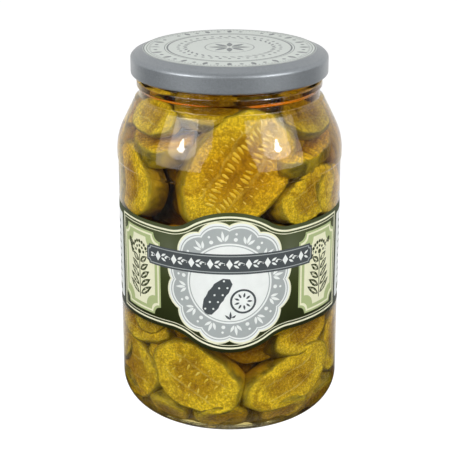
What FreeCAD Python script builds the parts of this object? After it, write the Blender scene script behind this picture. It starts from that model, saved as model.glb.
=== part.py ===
"""A closed glass jar of sliced gherkins: glass, twist-off lid, wrap-round paper label and brine.

Millimetres, +Z up. The origin is the middle of the foot, on the surface the jar stands on.
The front of the label faces -Y. Each solid goes to parts/NODE.step.
"""

import math
import os

import FreeCAD
import Part

# Overall sizes that the rest follows
body_radius = 45.75
rim_height = 151.8
finish_radius = 36.3

# Glass body
wall = 2.5
heel_radius = 13.5
inner_heel_radius = 11.5
floor_thickness = 3.2

# Foot: a flat ring to stand on, round a shallow hollow under the middle
foot_ring_width = 2.2
punt_depth = 2.4
punt_slope = 7.0
punt_round = 6.0

# Ridge that keeps the label from rubbing, just under the shoulder
ridge_height = 0.35
ridge_below_rim = 43.2
ridge_slope = 0.7

# Shoulder: an arc that reaches this far each way from its corner, then a straight slope
shoulder_corner_below_rim = 34.2
shoulder_reach = 5.8
shoulder_top_below_rim = 18.4
crease_width = 1.7
crease_height = 1.2
inner_neck_arc = 6.0

# Neck and finish
neck_step = 0.3
neck_wall = 2.9
bead_proud = 1.0
bead_below_rim = 14.2
bead_height = 4.2
rim_round = 1.2

# Thread ribs on the finish, and the lid's lugs that grip under them
rib_count = 6
rib_proud = 1.5
rib_thickness = 2.2
rib_arc_deg = 34.0
rib_tilt_deg = 2.5
rib_below_rim = 4.4
rib_root = 1.0
lug_arc_deg = 9.0
lug_thickness = 0.9
lug_below_rib = 0.1
lug_bore_gap = 0.5

# Lid
lid_over_ribs = 2.0
lid_height = 9.8
lid_sheet = 0.25
lid_edge_width = 5.0
lid_slope_drop = 1.7
lid_slope_run = 3.9
lid_shoulder_round = 1.4
lid_panel_round = 0.5
lid_hem_radius = 0.8

# Seal: the soft ring in the lid that the rim presses on
seal_thickness = 1.05
seal_inside = 1.2
seal_outside = 0.3
seal_slope_gap = 0.15

# Label
label_thickness = 0.12
label_glue = 0.02
label_middle = 69.3
label_band_height = 43.8
label_bulge_radius = 29.5
label_bulge_blend = 15.0
label_back_gap = 14.0
label_edge_points = 15

# Brine
brine_below_rim = 8.8


# Sizes that follow from the ones above
inner_radius = body_radius - wall
ridge_radius = body_radius + ridge_height
neck_radius = finish_radius + neck_step
neck_inner_radius = neck_radius - neck_wall
crease_radius = neck_radius + crease_width
ridge_bottom = rim_height - ridge_below_rim
shoulder_corner = rim_height - shoulder_corner_below_rim
shoulder_top = rim_height - shoulder_top_below_rim
shoulder_slope = (ridge_radius - crease_radius) / (shoulder_top - shoulder_corner)
shoulder_arc = shoulder_reach / math.tan(math.atan(shoulder_slope) / 2)
bead_bottom = rim_height - bead_below_rim
rib_middle = rim_height - rib_below_rim
lid_radius = finish_radius + rib_proud + lid_over_ribs
lid_panel_radius = lid_radius - lid_edge_width
lid_underside = rim_height + seal_thickness
lid_top = lid_underside + lid_sheet
lid_bottom = lid_top - lid_height
brine_level = rim_height - brine_below_rim


def at(r, z):
    """A point of a half section, which lies in the XZ plane."""
    return FreeCAD.Vector(r, 0, z)


def rounded_path(corners):
    """Edges through corners (r, z, rounding), each corner rounded by its own tangent arc."""
    edges = []
    start = at(corners[0][0], corners[0][1])
    for before, here, after in zip(corners, corners[1:], corners[2:]):
        corner = at(here[0], here[1])
        back = at(before[0], before[1]) - corner
        ahead = at(after[0], after[1]) - corner
        back.normalize()
        ahead.normalize()
        half_turn = (math.pi - back.getAngle(ahead)) / 2
        if here[2] > 0 and half_turn > 1e-6:
            reach = here[2] * math.tan(half_turn)
            middle = back + ahead
            middle.normalize()
            inset = here[2] / math.cos(half_turn) - here[2]
            first = corner + back * reach
            last = corner + ahead * reach
            edges.append(Part.LineSegment(start, first).toShape())
            edges.append(Part.Arc(first, corner + middle * inset, last).toShape())
            start = last
        else:
            edges.append(Part.LineSegment(start, corner).toShape())
            start = corner
    end = at(corners[-1][0], corners[-1][1])
    edges.append(Part.LineSegment(start, end).toShape())
    return edges


def turned(edges, degrees=360.0):
    """The solid that a closed half section makes when it turns about Z."""
    face = Part.Face(Part.Wire(edges))
    return face.revolve(FreeCAD.Vector(0, 0, 0), FreeCAD.Vector(0, 0, 1), degrees)


def outer_corners():
    """Outside of the glass, from the middle of the foot up to the rim."""
    foot_outer = body_radius - heel_radius
    foot_inner = foot_outer - foot_ring_width
    bead_radius = neck_radius + bead_proud
    return [
        (0, punt_depth, 0),
        (foot_inner - punt_slope, punt_depth, punt_round),
        (foot_inner, 0, 0),
        (body_radius, 0, heel_radius),
        (body_radius, ridge_bottom, 0.5),
        (ridge_radius, ridge_bottom + ridge_slope, 0.5),
        (ridge_radius, shoulder_corner, shoulder_arc),
        (crease_radius, shoulder_top, 1.2),
        (neck_radius, shoulder_top + crease_height, 0.6),
        (neck_radius, bead_bottom, 0.6),
        (bead_radius, bead_bottom + bead_proud, 0.8),
        (bead_radius, bead_bottom + bead_height - bead_proud, 0.8),
        (finish_radius, bead_bottom + bead_height, 0.5),
        (finish_radius, rim_height, rim_round),
    ]


def inner_corners(top):
    """Inside of the glass, from height top down to the middle of the floor."""
    thickness = ridge_radius - inner_radius
    corner = shoulder_corner - thickness * math.tan(math.atan(shoulder_slope) / 2)
    neck_corner = corner + (inner_radius - neck_inner_radius) / shoulder_slope
    floor_rise = floor_thickness + punt_depth
    rise_radius = body_radius - heel_radius - foot_ring_width - punt_slope
    return [
        (neck_inner_radius, top, rim_round),
        (neck_inner_radius, neck_corner, inner_neck_arc),
        (inner_radius, corner, shoulder_arc - thickness),
        (inner_radius, floor_thickness, inner_heel_radius),
        (rise_radius + punt_slope, floor_thickness, punt_round),
        (rise_radius, floor_rise, punt_round),
        (0, floor_rise, 0),
    ]


def thread_ribs():
    """Short slanted ribs round the finish, under which the lid's lugs turn."""
    low = rib_middle - rib_thickness / 2
    high = rib_middle + rib_thickness / 2
    root = finish_radius - rib_root
    crest = finish_radius + rib_proud
    bevel = rib_proud * 0.4
    section = [
        (root, low, 0),
        (crest, low + bevel, 0),
        (crest, high - bevel, 0),
        (root, high, 0),
        (root, low, 0),
    ]
    rib = turned(rounded_path(section), rib_arc_deg)
    rib.rotate(FreeCAD.Vector(0, 0, 0), FreeCAD.Vector(0, 0, 1), -rib_arc_deg / 2)
    rib.rotate(at(finish_radius, rib_middle), FreeCAD.Vector(1, 0, 0), rib_tilt_deg)
    ribs = []
    for n in range(rib_count):
        copy = rib.copy()
        copy.rotate(FreeCAD.Vector(0, 0, 0), FreeCAD.Vector(0, 0, 1), (n + 0.5) * 360.0 / rib_count)
        ribs.append(copy)
    return ribs


def glass_jar():
    outside = outer_corners()
    inside = inner_corners(rim_height)
    section = rounded_path(outside + inside)
    section.append(Part.LineSegment(at(0, inside[-1][1]), at(0, punt_depth)).toShape())
    return turned(section).fuse(thread_ribs()).removeSplitter()


def brine():
    """What fills the jar up to the level, in contact with the glass all round."""
    inside = inner_corners(brine_level)
    inside[0] = (neck_inner_radius, brine_level, 0)
    section = rounded_path([(0, brine_level, 0)] + inside)
    section.append(Part.LineSegment(at(0, inside[-1][1]), at(0, brine_level)).toShape())
    return turned(section)


def lid():
    """Pressed sheet lid: printed panel, sloping edge, skirt with a rolled hem, and lugs."""
    slope_end = lid_panel_radius + lid_slope_run
    corners = [
        (0, lid_top, 0),
        (lid_panel_radius, lid_top, lid_panel_round),
        (slope_end, lid_top - lid_slope_drop, lid_shoulder_round),
        (lid_radius, lid_top - lid_slope_drop - (lid_radius - slope_end), lid_shoulder_round),
        (lid_radius, lid_bottom + lid_hem_radius, 0),
    ]
    outside = Part.Wire(rounded_path(corners))
    section = outside.makeOffset2D(-lid_sheet, 0, True, True)
    shell = section.revolve(FreeCAD.Vector(0, 0, 0), FreeCAD.Vector(0, 0, 1), 360)
    hem = Part.makeTorus(
        lid_radius - lid_hem_radius,
        lid_hem_radius,
        FreeCAD.Vector(0, 0, lid_bottom + lid_hem_radius),
    )
    return shell.fuse([hem] + lid_lugs()).removeSplitter()


def lid_lugs():
    """Tabs folded in from the hem, each under the low end of a thread rib."""
    high = rib_middle - rib_thickness / 2 - lug_below_rib
    high -= finish_radius * math.radians(rib_arc_deg / 2) * math.tan(math.radians(rib_tilt_deg))
    low = max(high - lug_thickness, lid_bottom)
    section = [
        (finish_radius + lug_bore_gap, low, 0),
        (lid_radius - lid_sheet / 2, low, 0),
        (lid_radius - lid_sheet / 2, high, 0),
        (finish_radius + lug_bore_gap, high, 0),
        (finish_radius + lug_bore_gap, low, 0),
    ]
    lugs = []
    for n in range(rib_count):
        lug = turned(rounded_path(section), lug_arc_deg)
        turn = (n + 0.5) * 360.0 / rib_count - lug_arc_deg / 2
        lug.rotate(FreeCAD.Vector(0, 0, 0), FreeCAD.Vector(0, 0, 1), turn)
        lugs.append(lug)
    return lugs


def lid_seal():
    """The ring lies flat under the panel and follows the lid's sloping edge."""
    inner = neck_inner_radius - seal_inside
    outer = finish_radius + seal_outside
    bend = lid_panel_radius - seal_slope_gap
    edge_drop = (outer - bend) * lid_slope_drop / lid_slope_run
    section = [
        (inner, lid_underside, 0),
        (inner, rim_height, 0.3),
        (outer, rim_height, 0),
        (outer, lid_underside - edge_drop, 0),
        (bend, lid_underside, 0),
        (inner, lid_underside, 0),
    ]
    return turned(rounded_path(section))


def label_edge(arc_length):
    """Height of the label's edge above its middle, at a distance round the jar from the front."""
    s = abs(arc_length)
    half_band = label_band_height / 2
    blend_middle = half_band + label_bulge_blend
    reach = math.sqrt((label_bulge_radius + label_bulge_blend) ** 2 - blend_middle**2)
    meeting = reach * label_bulge_radius / (label_bulge_radius + label_bulge_blend)
    if s < meeting:
        return math.sqrt(label_bulge_radius**2 - s**2)
    if s < reach:
        return blend_middle - math.sqrt(label_bulge_blend**2 - (s - reach) ** 2)
    return half_band


def label_cutter(side):
    """What lies beyond one edge of the label: side is 1 for above it, -1 for below it."""
    outside = body_radius + label_glue + label_thickness
    far = 2 * body_radius
    half_band = label_middle + side * label_band_height / 2
    beyond = label_middle + side * far
    blend_middle = label_band_height / 2 + label_bulge_blend
    reach = math.sqrt((label_bulge_radius + label_bulge_blend) ** 2 - blend_middle**2)
    points = []
    for n in range(2 * label_edge_points + 1):
        s = reach * (n / label_edge_points - 1)
        height = label_middle + side * label_edge(s)
        points.append(FreeCAD.Vector(outside * math.sin(s / outside), 0, height))
    curve = Part.BSplineCurve()
    curve.interpolate(points)
    left = [points[0], at(-far, half_band), at(-far, beyond), at(far, beyond)]
    right = [at(far, beyond), at(far, half_band), points[-1]]
    edges = [curve.toShape(), Part.makePolygon(left), Part.makePolygon(right)]
    wire = Part.Wire(Part.__sortEdges__([edge for shape in edges for edge in shape.Edges]))
    front = Part.Face(wire).extrude(FreeCAD.Vector(0, -far, 0))
    corner = FreeCAD.Vector(-far, 0, min(half_band, beyond))
    back = Part.makeBox(2 * far, far, abs(beyond - half_band), corner)
    return [front, back]


def label():
    """One strip of paper round the body, with a round bulge at the front, top and bottom."""
    inside = body_radius + label_glue
    low = label_middle - 1.5 * label_bulge_radius
    sheet = Part.makeCylinder(
        inside + label_thickness, 3 * label_bulge_radius, FreeCAD.Vector(0, 0, low)
    )
    sheet = sheet.cut(Part.makeCylinder(inside, 3 * label_bulge_radius, FreeCAD.Vector(0, 0, low)))
    gap_corner = FreeCAD.Vector(-label_back_gap / 2, 0, low)
    gap = Part.makeBox(label_back_gap, 2 * body_radius, 3 * label_bulge_radius, gap_corner)
    return sheet.cut(label_cutter(1) + label_cutter(-1) + [gap]).removeSplitter()


def solids_of(shape):
    """The shape as one solid where it holds only one."""
    return shape.Solids[0] if len(shape.Solids) == 1 else Part.makeCompound(shape.Solids)


def main():
    os.makedirs("parts", exist_ok=True)
    for name, make in (
        ("glass_jar", glass_jar),
        ("lid", lid),
        ("lid_seal", lid_seal),
        ("label", label),
        ("brine", brine),
    ):
        shape = solids_of(make())
        shape.exportStep(os.path.join("parts", name + ".step"))
        box = shape.BoundBox
        print(
            name,
            shape.isValid(),
            len(shape.Solids),
            "solid(s), volume",
            round(shape.Volume / 1000, 2),
            "ml, z",
            round(box.ZMin, 2),
            "to",
            round(box.ZMax, 2),
            "width",
            round(box.XLength, 2),
        )


main()
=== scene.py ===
"""Sealed glass jar of gherkin slices in brine: the looks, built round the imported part.

Laid out as an add-on: settings for each piece, one operator a piece, and a panel that lists them.
Lengths in the settings are metres; drawings of the prints are in millimetres.
"""

import math

import bmesh
import bpy
import numpy as np
from bpy.props import FloatProperty, FloatVectorProperty, IntProperty, PointerProperty
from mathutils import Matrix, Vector


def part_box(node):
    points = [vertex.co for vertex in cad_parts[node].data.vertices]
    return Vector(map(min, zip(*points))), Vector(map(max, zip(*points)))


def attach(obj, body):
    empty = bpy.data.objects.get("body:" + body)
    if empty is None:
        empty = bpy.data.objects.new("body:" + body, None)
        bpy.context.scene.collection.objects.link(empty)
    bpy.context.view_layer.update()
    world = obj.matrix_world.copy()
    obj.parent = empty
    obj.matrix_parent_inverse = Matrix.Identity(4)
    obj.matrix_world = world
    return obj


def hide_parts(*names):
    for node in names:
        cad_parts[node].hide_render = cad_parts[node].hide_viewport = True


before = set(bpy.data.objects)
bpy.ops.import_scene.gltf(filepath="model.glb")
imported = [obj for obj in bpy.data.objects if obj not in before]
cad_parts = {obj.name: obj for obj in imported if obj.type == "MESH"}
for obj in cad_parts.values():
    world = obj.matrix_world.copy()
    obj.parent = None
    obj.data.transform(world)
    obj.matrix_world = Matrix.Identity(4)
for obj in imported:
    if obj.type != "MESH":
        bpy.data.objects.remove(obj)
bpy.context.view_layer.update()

bl_info = {
    "name": "Gherkin jar",
    "version": (1, 0, 0),
    "blender": (4, 5, 0),
    "location": "3D View > Sidebar > Gherkin jar",
    "description": "Builds the glass, brine, slices, printed label and lid of a gherkin jar",
    "category": "Object",
}

MM = 0.001


def linear(red, green, blue):
    """Scene colour of a print colour given from 0 to 255."""
    parts = [value / 255 for value in (red, green, blue)]
    return tuple(p / 12.92 if p <= 0.04045 else ((p + 0.055) / 1.055) ** 2.4 for p in parts)


def colour_setting(name, description, red, green, blue):
    return FloatVectorProperty(
        name=name,
        description=description,
        default=linear(red, green, blue),
        subtype="COLOR",
        size=3,
        min=0.0,
        max=1.0,
    )


def length_setting(name, description, default):
    return FloatProperty(
        name=name, description=description, default=default, unit="LENGTH", subtype="DISTANCE"
    )


def angle_setting(name, description, degrees):
    return FloatProperty(
        name=name,
        description=description,
        default=math.radians(degrees),
        unit="ROTATION",
        subtype="ANGLE",
    )


def power_setting(name, description, default):
    return FloatProperty(
        name=name, description=description, default=default, unit="POWER", subtype="POWER"
    )


# ---------------------------------------------------------------- settings


class GlassSettings(bpy.types.PropertyGroup):
    tint: colour_setting("Tint", "Colour of the clear container glass", 250, 253, 251)
    refraction: FloatProperty(
        name="Refraction", description="Index of refraction of the glass", default=1.5
    )


class BrineSettings(bpy.types.PropertyGroup):
    colour: colour_setting("Colour", "Colour that light takes in the brine", 251, 228, 40)
    density: FloatProperty(
        name="Density", description="How fast the brine takes up light, per metre", default=120.0
    )
    reach: length_setting("Reach", "How far the brine reaches into the glass wall", 0.0008)
    refraction: FloatProperty(
        name="Refraction", description="Index of refraction of the brine", default=1.34
    )


class SliceSettings(bpy.types.PropertyGroup):
    flesh: colour_setting("Flesh", "Colour of the cut flesh", 216, 188, 44)
    core: colour_setting("Core", "Colour of the seed core", 180, 148, 28)
    peel: colour_setting("Peel", "Colour of the peel at the rim", 84, 74, 18)
    seed: colour_setting("Seed", "Colour of the seeds", 232, 212, 116)
    thickness: length_setting("Thickness", "Usual thickness of a slice", 0.0085)
    crinkle: length_setting("Crinkle", "Height of the waves on a crinkle cut", 0.0005)
    pitch: length_setting("Pitch", "Distance between the waves of a crinkle cut", 0.0042)
    shuffle: IntProperty(name="Shuffle", description="Seed of the slices' chance shapes", default=7)


class LabelSettings(bpy.types.PropertyGroup):
    ground: colour_setting("Ground", "Dark olive ground of the label", 58, 66, 30)
    leaf: colour_setting("Leaf", "Light green of the side panels", 176, 189, 134)
    cream: colour_setting("Cream", "Cream of the lines", 236, 236, 204)
    paper: colour_setting("Paper", "Pale field of the middle panel", 234, 238, 235)
    grey: colour_setting("Grey", "Grey tint of the middle panel's ring", 168, 174, 173)
    slate: colour_setting("Slate", "Dark grey of the strip and the drawing", 74, 80, 82)
    sheet: length_setting("Sheet", "Thickness of the paper", 0.00009)
    layer: length_setting("Layer", "Step between two layers of print", 0.00002)


class LidSettings(bpy.types.PropertyGroup):
    lacquer: colour_setting("Lacquer", "Grey lacquer of the lid", 138, 143, 147)
    disc: colour_setting("Disc", "Pale print of the lid's panel", 224, 230, 224)
    ring: colour_setting("Ring", "Grey of the rings and leaves on the panel", 128, 134, 134)
    layer: length_setting("Layer", "Step between two layers of print", 0.000015)


class StageSettings(bpy.types.PropertyGroup):
    pitch: angle_setting("Pitch", "How far the camera looks down", 20.05)
    distance: length_setting("Distance", "Level distance from the camera to the jar's axis", 0.5387)
    height: length_setting("Height", "Height of the camera above the foot", 0.2719)
    lens: FloatProperty(name="Lens", description="Focal length in millimetres", default=107.0)
    key: power_setting("Key", "Power of each soft box, in watts", 7.6)
    spark: power_setting("Spark", "Power of each small lamp, in watts", 1.1)
    glow: power_setting("Glow", "Power of each middling lamp, in watts", 2.2)
    room: FloatProperty(name="Room", description="Strength of the room's soft light", default=0.05)


# ---------------------------------------------------------------- materials


class Nodes:
    """A short hand for building a node tree."""

    def __init__(self, tree):
        self.tree = tree
        self.column = 0

    def add(self, kind, inputs=None, **values):
        node = self.tree.nodes.new(kind)
        self.column += 1
        node.location = (self.column * 180, 0)
        for name, value in values.items():
            setattr(node, name, value)
        for name, value in (inputs or {}).items():
            socket = node.inputs[name]
            if isinstance(value, bpy.types.NodeSocket):
                self.tree.links.new(value, socket)
            else:
                socket.default_value = value
        return node

    def math(self, operation, *terms, clamp=False):
        inputs = dict(enumerate(terms))
        return self.add("ShaderNodeMath", inputs, operation=operation, use_clamp=clamp).outputs[0]

    def mix(self, factor, first, second, blend="MIX"):
        node = self.add("ShaderNodeMix", data_type="RGBA", blend_type=blend)
        for socket, value in ((0, factor), (6, first), (7, second)):
            if isinstance(value, bpy.types.NodeSocket):
                self.tree.links.new(value, node.inputs[socket])
            elif socket == 0:
                node.inputs[socket].default_value = value
            else:
                node.inputs[socket].default_value = (*value, 1) if len(value) == 3 else value
        return node.outputs[2]

    def ramp(self, factor, low, high):
        """0 below low and 1 above high, with a soft step between them."""
        inputs = {"Value": factor, "From Min": low, "From Max": high}
        node = self.add("ShaderNodeMapRange", inputs, interpolation_type="SMOOTHSTEP")
        return node.outputs[0]

    def noise(self, vector, scale, detail=2.0, roughness=0.5, distortion=0.0):
        inputs = {
            "Vector": vector,
            "Scale": scale,
            "Detail": detail,
            "Roughness": roughness,
            "Distortion": distortion,
        }
        return self.add("ShaderNodeTexNoise", inputs).outputs["Fac"]

    def bump(self, height, strength, distance):
        inputs = {"Height": height, "Strength": strength, "Distance": distance}
        return self.add("ShaderNodeBump", inputs).outputs["Normal"]


def new_material(name):
    material = bpy.data.materials.new(name)
    material.use_nodes = True
    material.node_tree.nodes.clear()
    return material, Nodes(material.node_tree)


def finish_material(nodes, shader, volume=None):
    output = nodes.add("ShaderNodeOutputMaterial", {"Surface": shader})
    if volume is not None:
        nodes.tree.links.new(volume, output.inputs["Volume"])


def object_point(nodes):
    return nodes.add("ShaderNodeTexCoord").outputs["Object"]


def new_group(name, inputs, outputs):
    """An empty node group with the named sockets, its Nodes and what its input node gives."""
    tree = bpy.data.node_groups.new(name, "ShaderNodeTree")
    for socket, kind, default in inputs:
        made = tree.interface.new_socket(socket, in_out="INPUT", socket_type=kind)
        made.default_value = default
    for socket, kind in outputs:
        tree.interface.new_socket(socket, in_out="OUTPUT", socket_type=kind)
    nodes = Nodes(tree)
    return tree, nodes, nodes.add("NodeGroupInput").outputs


def print_wear_group():
    """Fine paper grain and uneven ink for the printed surfaces."""
    name = "print_wear"
    if name in bpy.data.node_groups:
        return bpy.data.node_groups[name]
    sockets = [
        ("Colour", "NodeSocketColor", (0.5, 0.5, 0.5, 1)),
        ("Ink", "NodeSocketFloat", 0.12),
        ("Grain", "NodeSocketFloat", 1.0),
    ]
    tree, nodes, given = new_group(
        name,
        sockets,
        [("Colour", "NodeSocketColor"), ("Rough", "NodeSocketFloat"), ("Grain", "NodeSocketFloat")],
    )
    point = object_point(nodes)
    cloud = nodes.noise(point, 260.0, 4.0, 0.6)
    fleck = nodes.noise(point, 5200.0, 2.0, 0.7)
    uneven = nodes.math("MULTIPLY", nodes.math("SUBTRACT", cloud, 0.5), given["Ink"])
    speckle = nodes.math("MULTIPLY", nodes.math("SUBTRACT", fleck, 0.5), given["Ink"])
    change = nodes.math("ADD", 1.0, nodes.math("ADD", uneven, speckle))
    shade = nodes.add("ShaderNodeCombineColor", {0: change, 1: change, 2: change}).outputs[0]
    colour = nodes.mix(1.0, given["Colour"], shade, "MULTIPLY")
    rough = nodes.math("ADD", 0.42, nodes.math("MULTIPLY", cloud, 0.12))
    grain = nodes.math("MULTIPLY", fleck, given["Grain"])
    nodes.add("NodeGroupOutput", {"Colour": colour, "Rough": rough, "Grain": grain})
    return tree


def print_material(name, colour, coat=0.04, ink=0.14):
    """Printed paper or lacquer in one ink."""
    material, nodes = new_material(name)
    wear = nodes.add("ShaderNodeGroup", node_tree=print_wear_group())
    wear.inputs["Colour"].default_value = (*colour, 1)
    wear.inputs["Ink"].default_value = ink
    shader = nodes.add(
        "ShaderNodeBsdfPrincipled",
        {
            "Base Color": wear.outputs["Colour"],
            "Roughness": wear.outputs["Rough"],
            "Normal": nodes.bump(wear.outputs["Grain"], 0.12, 0.00004),
            "Coat Weight": coat,
            "Coat Roughness": 0.25,
            "Specular IOR Level": 0.25,
        },
    )
    finish_material(nodes, shader.outputs[0])
    return material


# How strongly clear surfaces mirror on their inner side, where 1 is the full strength
INNER_MIRROR = 0.06


def clear_material(name, tint, refraction, volume=None, mirror=1.0):
    """Clear glass or liquid that lets the lamps' light straight through to what is inside."""
    material, nodes = new_material(name)
    inside = nodes.add("ShaderNodeNewGeometry").outputs["Backfacing"]
    mirror_tint = nodes.mix(inside, (mirror,) * 3, (INNER_MIRROR,) * 3)
    clear = nodes.add(
        "ShaderNodeBsdfPrincipled",
        {
            "Base Color": (*tint, 1),
            "Roughness": 0.0,
            "IOR": refraction,
            "Transmission Weight": 1.0,
            "Metallic": 0.0,
            "Specular Tint": mirror_tint,
        },
    )
    open_way = nodes.add("ShaderNodeBsdfTransparent", {"Color": (*tint, 1)})
    path = nodes.add("ShaderNodeLightPath").outputs
    blocked = nodes.math("MAXIMUM", path["Is Shadow Ray"], path["Is Diffuse Ray"])
    shader = nodes.add(
        "ShaderNodeMixShader", {0: blocked, 1: clear.outputs[0], 2: open_way.outputs[0]}
    )
    medium = None
    if volume:
        colour, density = volume
        medium = nodes.add(
            "ShaderNodeVolumeAbsorption", {"Color": (*colour, 1), "Density": density}
        ).outputs[0]
    finish_material(nodes, shader.outputs[0], medium)
    return material


def gherkin_group():
    """Colour, wetness and grain of a gherkin slice, from its place on the cut and its peel, with
    painted glints in its pale flecks and painted shade and light in each slice's tone.
    """
    name = "gherkin_flesh"
    if name in bpy.data.node_groups:
        return bpy.data.node_groups[name]
    sockets = [
        ("Flesh", "NodeSocketColor", (0.6, 0.45, 0.1, 1)),
        ("Core", "NodeSocketColor", (0.4, 0.3, 0.05, 1)),
        ("Peel", "NodeSocketColor", (0.2, 0.18, 0.03, 1)),
    ]
    outputs = [
        ("Colour", "NodeSocketColor"),
        ("Rough", "NodeSocketFloat"),
        ("Height", "NodeSocketFloat"),
    ]
    tree, nodes, given = new_group(name, sockets, outputs)
    cut = nodes.add("ShaderNodeAttribute", attribute_name="cut").outputs["Vector"]
    peel, tone, well = (
        nodes.add("ShaderNodeAttribute", attribute_name=mark).outputs["Fac"]
        for mark in ("peel", "tone", "well")
    )
    point = object_point(nodes)
    fibre = nodes.noise(point, 1100.0, 5.0, 0.75, 0.4)
    blotch = nodes.noise(point, 140.0, 5.0, 0.65, 0.5)

    # The seed core in the middle, with an uneven border, and the flesh round it
    out = nodes.add("ShaderNodeVectorMath", {0: cut}, operation="LENGTH").outputs["Value"]
    uneven = nodes.math("SUBTRACT", nodes.noise(point, 160.0, 3.0), 0.5)
    wobble = nodes.math("MULTIPLY", uneven, 0.3)
    radius = nodes.math("ADD", out, wobble)
    colour = nodes.mix(nodes.ramp(radius, 0.4, 0.7), given["Core"], given["Flesh"])
    # Fine grain from the fibre noise; its whiter, bluish pale flecks are painted glints that stand
    # in for wet highlights
    grain_and_glint = nodes.mix(nodes.ramp(fibre, 0.42, 0.64), (0.7, 0.65, 0.48), (1.42, 1.42, 1.6))
    colour = nodes.mix(1.0, colour, grain_and_glint, "MULTIPLY")

    # Two pale strands along the core, one either side of the long axis
    beside = nodes.add("ShaderNodeSeparateXYZ", {0: cut}).outputs[1]
    across = nodes.math("ADD", beside, nodes.math("MULTIPLY", wobble, 0.9))
    off_line = nodes.math("SUBTRACT", nodes.math("ABSOLUTE", across), 0.34)
    off_line = nodes.math("ABSOLUTE", off_line)
    strand = nodes.math("SUBTRACT", 1.0, nodes.ramp(off_line, 0.012, 0.05))
    inner = nodes.math("SUBTRACT", 1.0, nodes.ramp(out, 0.6, 0.75))
    strand = nodes.math("MULTIPLY", nodes.math("MULTIPLY", strand, inner), 0.26)
    colour = nodes.mix(strand, colour, (0.8, 0.72, 0.28))

    # Darker blotches, then the peel as a line at the cut's rim and as the skin outside it
    dark = nodes.mix(nodes.ramp(blotch, 0.42, 0.68), (1.1, 1.1, 1.08), (0.66, 0.57, 0.36))
    colour = nodes.mix(1.0, colour, dark, "MULTIPLY")
    line = nodes.math("MULTIPLY", nodes.ramp(radius, 0.93, 1.0), 0.7)
    colour = nodes.mix(line, colour, given["Peel"])
    patches = nodes.math("MULTIPLY", nodes.ramp(blotch, 0.3, 0.7), 0.7)
    colour = nodes.mix(peel, colour, nodes.mix(patches, given["Peel"], given["Flesh"]))

    # The hollows round the seeds, and each slice's tone, which is also painted shade and light:
    # much darker for slices set deep in the jar, lighter at the heel
    colour = nodes.mix(nodes.math("MULTIPLY", well, 0.6), colour, given["Core"])
    shade = nodes.add("ShaderNodeCombineColor", {0: tone, 1: tone, 2: tone}).outputs[0]
    colour = nodes.mix(1.0, colour, shade, "MULTIPLY")

    rough = nodes.math("ADD", 0.3, nodes.math("MULTIPLY", fibre, 0.25))
    fold = nodes.math("MULTIPLY", nodes.noise(point, 330.0, 4.0, 0.6, 0.8), 2.0)
    height = nodes.math("ADD", nodes.math("ADD", fibre, fold), nodes.noise(point, 2400.0, 2.0, 0.6))
    nodes.add("NodeGroupOutput", {"Colour": colour, "Rough": rough, "Height": height})
    return tree


def gherkin_material(settings):
    material, nodes = new_material("gherkin")
    group = nodes.add("ShaderNodeGroup", node_tree=gherkin_group())
    for part in ("flesh", "core", "peel"):
        group.inputs[part.title()].default_value = (*getattr(settings, part), 1)
    shader = nodes.add(
        "ShaderNodeBsdfPrincipled",
        {
            "Base Color": group.outputs["Colour"],
            "Roughness": group.outputs["Rough"],
            "Normal": nodes.bump(group.outputs["Height"], 0.5, 0.0005),
            "Specular IOR Level": 0.16,
        },
    )
    finish_material(nodes, shader.outputs[0])
    return material


def seed_material(settings):
    material, nodes = new_material("gherkin_seed")
    point = object_point(nodes)
    cloud = nodes.noise(point, 700.0, 2.0)
    colour = nodes.mix(nodes.ramp(cloud, 0.35, 0.7), tuple(settings.seed), tuple(settings.flesh))
    shader = nodes.add(
        "ShaderNodeBsdfPrincipled",
        {
            "Base Color": colour,
            "Roughness": 0.3,
            "Normal": nodes.bump(nodes.noise(point, 3000.0), 0.2, 0.0001),
        },
    )
    finish_material(nodes, shader.outputs[0])
    return material


def lacquer_material(settings):
    """Grey satin lacquer with a fine metal fleck."""
    material, nodes = new_material("lid_lacquer")
    point = object_point(nodes)
    fleck = nodes.noise(point, 3600.0, 3.0, 0.75)
    cloud = nodes.noise(point, 120.0, 3.0)
    shade = nodes.ramp(fleck, 0.3, 0.7)
    low = tuple(c * 0.72 for c in settings.lacquer)
    high = tuple(c * 1.28 for c in settings.lacquer)
    colour = nodes.mix(shade, low, high)
    rough = nodes.math("ADD", 0.3, nodes.math("MULTIPLY", cloud, 0.12))
    shader = nodes.add(
        "ShaderNodeBsdfPrincipled",
        {
            "Base Color": colour,
            "Roughness": rough,
            "Metallic": 0.42,
            "Normal": nodes.bump(fleck, 0.1, 0.00003),
            "Coat Weight": 0.25,
            "Coat Roughness": 0.2,
        },
    )
    finish_material(nodes, shader.outputs[0])
    return material


# ---------------------------------------------------------------- meshes


def new_object(name, mesh, material, smooth=True):
    mesh.name = name
    if smooth:
        mesh.shade_smooth()
    thing = bpy.data.objects.new(name, mesh)
    bpy.context.collection.objects.link(thing)
    thing.data.materials.clear()
    thing.data.materials.append(material)
    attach(thing, "root")
    return thing


def mesh_from(name, vertices, faces):
    mesh = bpy.data.meshes.new(name)
    mesh.from_pydata([tuple(v) for v in vertices], [], faces)
    mesh.update()
    return mesh


def ring_faces(start, rings, sides, inward=False):
    """Faces of a closed skin whose points are one pole, the rings in turn and the other pole."""
    faces = []
    for n in range(sides):
        after = (n + 1) % sides
        faces.append((start, start + 1 + after, start + 1 + n))
        base = start + 1 + (rings - 1) * sides
        for low in range(start + 1, base, sides):
            high = low + sides
            faces.append((low + n, low + after, high + after, high + n))
        faces.append((base + n, base + after, base + sides))
    if inward:
        faces = [(face[0], *reversed(face[1:])) for face in faces]
    return faces


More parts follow.
